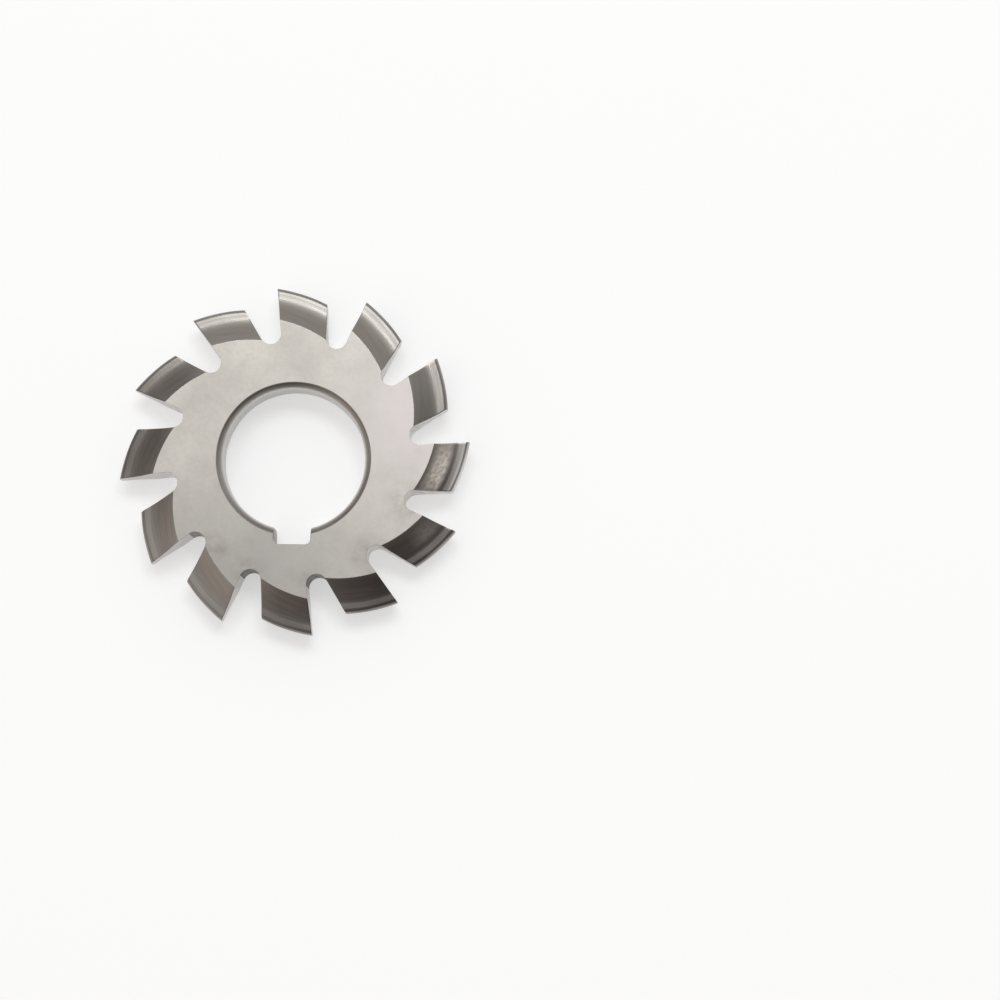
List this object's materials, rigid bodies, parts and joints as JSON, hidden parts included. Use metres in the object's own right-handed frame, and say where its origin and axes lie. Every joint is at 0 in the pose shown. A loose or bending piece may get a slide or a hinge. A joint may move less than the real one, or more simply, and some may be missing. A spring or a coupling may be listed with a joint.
{
  "type": "involute gear cutter",
  "caption": "Disc milling cutter with form-relieved teeth that cut the space between two involute gear teeth, with a keyed central bore.",
  "frame": {"origin": "on the bore axis, in the middle of the cutter's width", "axes": "+Z along the bore axis, square to the side faces; -Y towards the keyway; seen from +Z each tooth's cutting face is on its counterclockwise side"},
  "size_m": [0.0666, 0.0666, 0.0086],
  "materials": {
    "tool_steel": "hardened steel, ground on the sides, in the bore and on the cutting faces, darker on the relieved flanks"
  },
  "bodies": {
    "root": {"gear_cutter": "tool_steel"}
  },
  "joints": []
}
